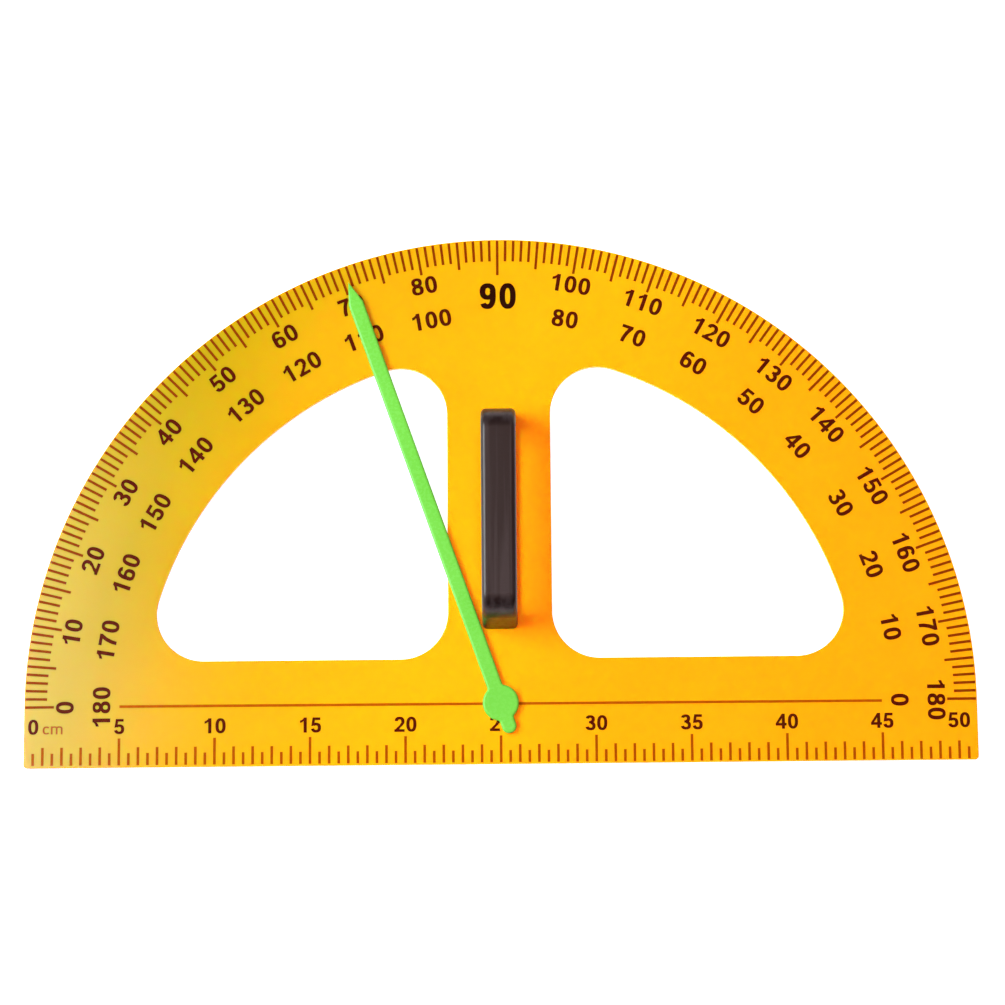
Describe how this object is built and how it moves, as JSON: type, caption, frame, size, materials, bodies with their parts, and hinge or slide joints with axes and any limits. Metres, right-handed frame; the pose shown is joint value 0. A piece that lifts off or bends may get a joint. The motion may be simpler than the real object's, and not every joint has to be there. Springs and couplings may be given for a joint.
{
  "type": "protractor",
  "caption": "Large half-round board protractor with two open windows, a ruler edge, a bridge handle and a swinging pointer.",
  "frame": {"origin": "the pointer's pivot axis, where it meets the plane of the plate's back face", "axes": "+X along the ruler edge towards its 50 cm end, +Y along the stem towards the 90 degree mark, +Z out of the printed face, on the handle's side"},
  "size_m": [0.5, 0.282, 0.041],
  "materials": {
    "plate": "smooth yellow plastic sheet, glossy",
    "grip": "black moulded plastic, fine satin texture",
    "pointer": "light green moulded plastic, satin gloss",
    "steel": "zinc plated steel"
  },
  "bodies": {
    "plate": {"scale_plate": "plate", "handle_grip": "grip", "handle_screw_upper": "steel", "handle_screw_lower": "steel"},
    "pointer": {"pointer_arm": "pointer", "pivot_button": "pointer", "wave_washer": "steel"}
  },
  "joints": [
    {"name": "pointer_swing", "type": "hinge", "parent": "plate", "child": "pointer", "pos_m": [0, 0, 0], "axis": [0, 0, 1], "range_deg": [0, 321]}
  ]
}
